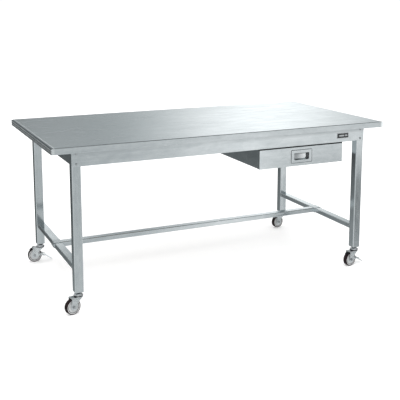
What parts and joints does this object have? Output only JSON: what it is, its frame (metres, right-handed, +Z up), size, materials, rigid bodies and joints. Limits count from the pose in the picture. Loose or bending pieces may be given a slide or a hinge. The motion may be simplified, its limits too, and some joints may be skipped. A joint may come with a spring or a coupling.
{
  "type": "stainless work table",
  "caption": "Stainless work table with a rectangular top, square tube legs, H-shaped lower rails, a shallow side drawer with a recessed pull and swivel casters, some braked.",
  "frame": {"origin": "on the floor, under the middle of the top", "axes": "+X along the length of the top, with the drawer's side at -Y, and +Z up"},
  "size_m": [1.8, 0.9, 0.8],
  "materials": {
    "stainless": "brushed stainless sheet and tube, grain along the length",
    "fastener_steel": "plain bright fasteners",
    "zinc": "bright zinc plate",
    "dark_steel": "blackened steel",
    "chrome": "bright plated",
    "board": "raw particle board",
    "label_metal": "blank dark plate with a bright rim",
    "cast_light": "cast aluminium, lightly blasted",
    "pale_nylon": "extruded pale nylon",
    "grey_nylon": "moulded grey nylon",
    "seal_rubber": "soft black rubber",
    "tyre": "dark elastic tread"
  },
  "bodies": {
    "frame": {"top_skin": "stainless", "top_core": "board", "top_stiffeners": "stainless", "top_screws": "zinc", "leg_front_left": "stainless", "leg_front_right": "stainless", "leg_back_left": "stainless", "leg_back_right": "stainless", "apron_front": "stainless", "apron_back": "stainless", "apron_left": "stainless", "apron_right": "stainless", "end_rail_left": "stainless", "end_rail_right": "stainless", "centre_stretcher": "stainless", "tee_brackets": "stainless", "tube_plugs": "zinc", "rail_bolts": "fastener_steel", "tie_bolts": "fastener_steel", "apron_bolts": "fastener_steel", "rivet_nuts": "zinc", "nameplate": "label_metal", "nameplate_rivets": "fastener_steel", "drawer_case": "stainless", "case_hangers": "stainless", "runner_glides": "pale_nylon", "drawer_runners": "stainless", "drawer_bumpers": "seal_rubber", "leg_plugs": "cast_light", "caster_stems": "dark_steel", "raceway_caps": "chrome", "swivel_seals": "seal_rubber"},
    "drawer": {"drawer_tray": "stainless", "drawer_front": "stainless", "pull_plate": "stainless", "pull_cup": "stainless", "front_screws": "zinc"},
    "caster_front_left": {"fork_front_left": "zinc", "axle_front_left": "fastener_steel"},
    "wheel_front_left": {"wheel_core_front_left": "grey_nylon", "tyre_front_left": "tyre"},
    "caster_front_right": {"fork_front_right": "zinc", "axle_front_right": "fastener_steel", "brake_rivets_front_right": "fastener_steel", "brake_spring_front_right": "dark_steel"},
    "wheel_front_right": {"wheel_core_front_right": "grey_nylon", "tyre_front_right": "tyre"},
    "brake_front_right": {"brake_pedal_front_right": "zinc"},
    "caster_back_left": {"fork_back_left": "zinc", "axle_back_left": "fastener_steel", "brake_rivets_back_left": "fastener_steel", "brake_spring_back_left": "dark_steel"},
    "wheel_back_left": {"wheel_core_back_left": "grey_nylon", "tyre_back_left": "tyre"},
    "brake_back_left": {"brake_pedal_back_left": "zinc"},
    "caster_back_right": {"fork_back_right": "zinc", "axle_back_right": "fastener_steel"},
    "wheel_back_right": {"wheel_core_back_right": "grey_nylon", "tyre_back_right": "tyre"}
  },
  "joints": [
    {"name": "drawer_slide", "type": "slide", "parent": "frame", "child": "drawer", "axis": [0, -1, 0], "range_m": [0, 0.32]},
    {"name": "swivel_front_left", "type": "hinge", "parent": "frame", "child": "caster_front_left", "pos_m": [-0.7785, -0.3885, 0.083], "axis": [0, 0, 1], "continuous": true},
    {"name": "roll_front_left", "type": "hinge", "parent": "caster_front_left", "child": "wheel_front_left", "pos_m": [-0.81022, -0.3976, 0.0375], "axis": [-0.2756, 0.9613, 0], "continuous": true},
    {"name": "swivel_front_right", "type": "hinge", "parent": "frame", "child": "caster_front_right", "pos_m": [0.7785, -0.3885, 0.083], "axis": [0, 0, 1], "continuous": true},
    {"name": "roll_front_right", "type": "hinge", "parent": "caster_front_right", "child": "wheel_front_right", "pos_m": [0.74622, -0.39536, 0.0375], "axis": [-0.2079, 0.9781, 0], "continuous": true},
    {"name": "brake_lift_front_right", "type": "hinge", "parent": "caster_front_right", "child": "brake_front_right", "pos_m": [0.77459, -0.38933, 0.0435], "axis": [0.2079, -0.9781, 0], "range_deg": [0, 22]},
    {"name": "swivel_back_left", "type": "hinge", "parent": "frame", "child": "caster_back_left", "pos_m": [-0.7785, 0.3885, 0.083], "axis": [0, 0, 1], "continuous": true},
    {"name": "roll_back_left", "type": "hinge", "parent": "caster_back_left", "child": "wheel_back_left", "pos_m": [-0.81118, 0.39309, 0.0375], "axis": [0.1392, 0.9903, 0], "continuous": true},
    {"name": "brake_lift_back_left", "type": "hinge", "parent": "caster_back_left", "child": "brake_back_left", "pos_m": [-0.78246, 0.38906, 0.0435], "axis": [-0.1392, -0.9903, 0], "range_deg": [0, 22]},
    {"name": "swivel_back_right", "type": "hinge", "parent": "frame", "child": "caster_back_right", "pos_m": [0.7785, 0.3885, 0.083], "axis": [0, 0, 1], "continuous": true},
    {"name": "roll_back_right", "type": "hinge", "parent": "caster_back_right", "child": "wheel_back_right", "pos_m": [0.746, 0.38277, 0.0375], "axis": [-0.1736, 0.9848, 0], "continuous": true}
  ]
}
